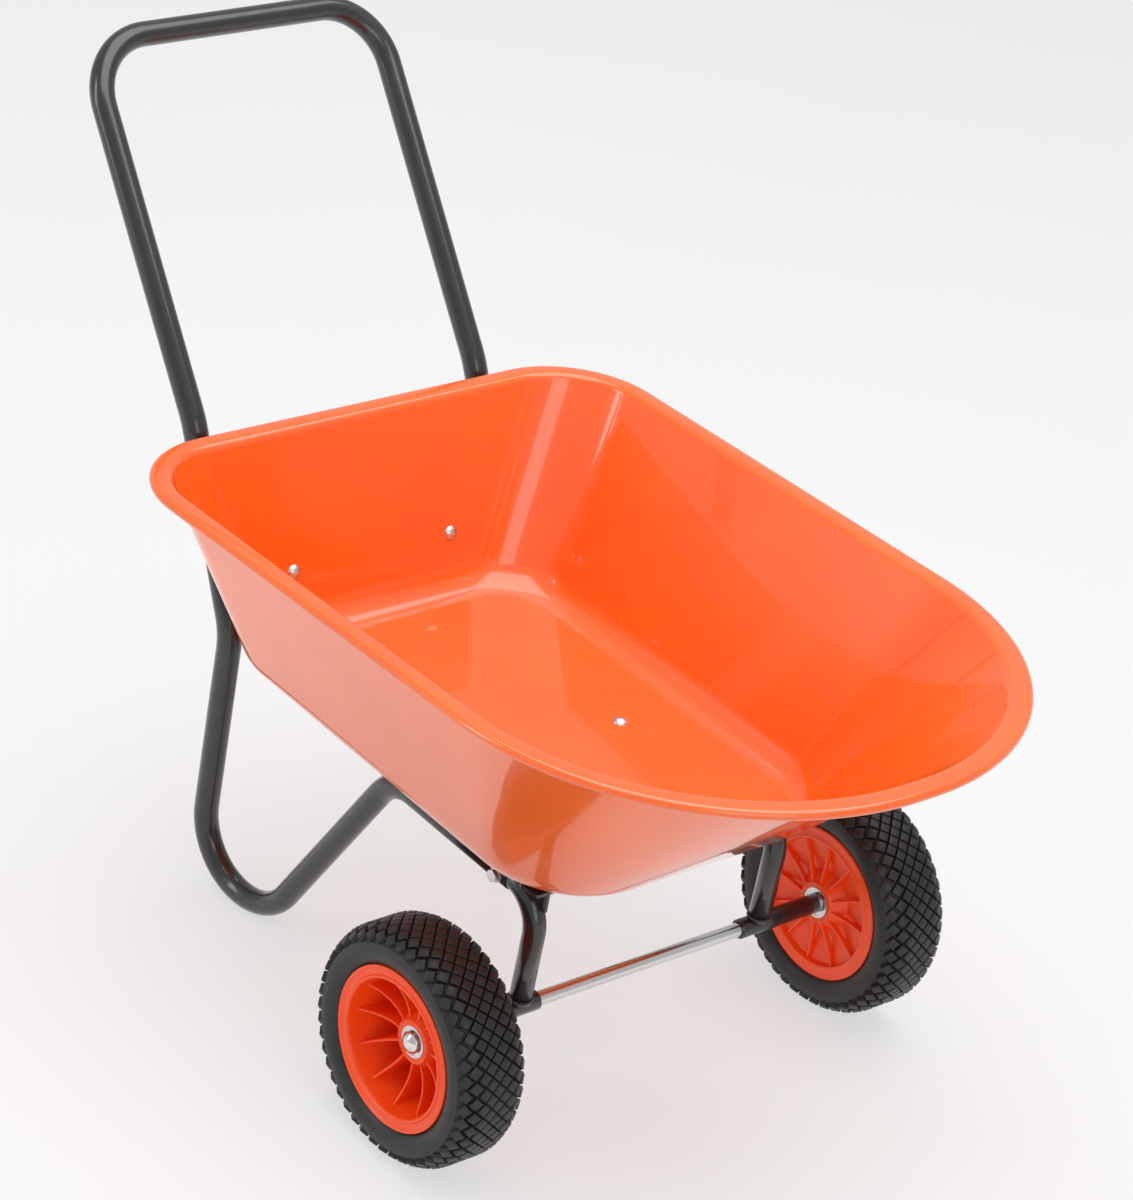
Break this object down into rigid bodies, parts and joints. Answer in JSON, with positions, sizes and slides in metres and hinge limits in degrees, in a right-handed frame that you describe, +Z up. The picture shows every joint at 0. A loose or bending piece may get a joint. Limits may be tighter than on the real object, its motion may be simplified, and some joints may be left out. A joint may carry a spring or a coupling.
{
  "type": "wheelbarrow",
  "caption": "Garden wheelbarrow with a deep pressed steel tray, rolled lip, bent tube frame with foot loops, tall handle loop and wheels with deep ribbed rims on a through axle.",
  "frame": {"origin": "middle of the object's bounding box, on the ground it stands on", "axes": "+X forwards to the wheels and the tray's nose, +Y to the left side, +Z up"},
  "size_m": [1.2416, 0.675, 0.8811],
  "materials": {
    "tray_paint": "glossy orange powder coat",
    "frame_paint": "glossy black powder coat",
    "rim_plastic": "moulded orange-red plastic",
    "tyre_rubber": "matte black rubber with a studded tread",
    "axle_steel": "bright zinc",
    "zinc": "bright zinc",
    "bearing_steel": "polished",
    "cap_chrome": "bright plated",
    "nylon": "natural nylon"
  },
  "bodies": {
    "frame": {"tray": "tray_paint", "handle_loop": "frame_paint", "front_strap": "frame_paint", "mid_strap": "frame_paint", "rear_strap": "frame_paint", "front_gussets": "frame_paint", "axle": "axle_steel", "hub_spacers": "zinc", "axle_washers": "zinc", "axle_caps": "cap_chrome", "axle_cap_springs": "zinc", "tray_bolts": "zinc", "tray_washers": "zinc", "tray_nuts": "zinc", "handle_bolts": "zinc", "handle_washers": "zinc", "handle_nuts": "zinc", "front_bolts": "zinc", "front_washers": "zinc", "front_nuts": "zinc", "left_side_frame": "frame_paint", "left_drop_tube": "frame_paint", "left_axle_sleeve": "frame_paint", "left_bearing_inner_rings": "bearing_steel", "right_side_frame": "frame_paint", "right_drop_tube": "frame_paint", "right_axle_sleeve": "frame_paint", "right_bearing_inner_rings": "bearing_steel"},
    "left_wheel": {"left_tyre": "tyre_rubber", "left_rim": "rim_plastic", "left_bearing_outer_rings": "bearing_steel", "left_bearing_balls": "bearing_steel", "left_bearing_shields": "bearing_steel", "left_bearing_cages": "nylon"},
    "right_wheel": {"right_tyre": "tyre_rubber", "right_rim": "rim_plastic", "right_bearing_outer_rings": "bearing_steel", "right_bearing_balls": "bearing_steel", "right_bearing_shields": "bearing_steel", "right_bearing_cages": "nylon"}
  },
  "joints": [
    {"name": "left_wheel_spin", "type": "hinge", "parent": "frame", "child": "left_wheel", "pos_m": [0.27425, 0.2955, 0.13], "axis": [0, 1, 0], "continuous": true},
    {"name": "right_wheel_spin", "type": "hinge", "parent": "frame", "child": "right_wheel", "pos_m": [0.27425, -0.2955, 0.13], "axis": [0, 1, 0], "continuous": true}
  ]
}
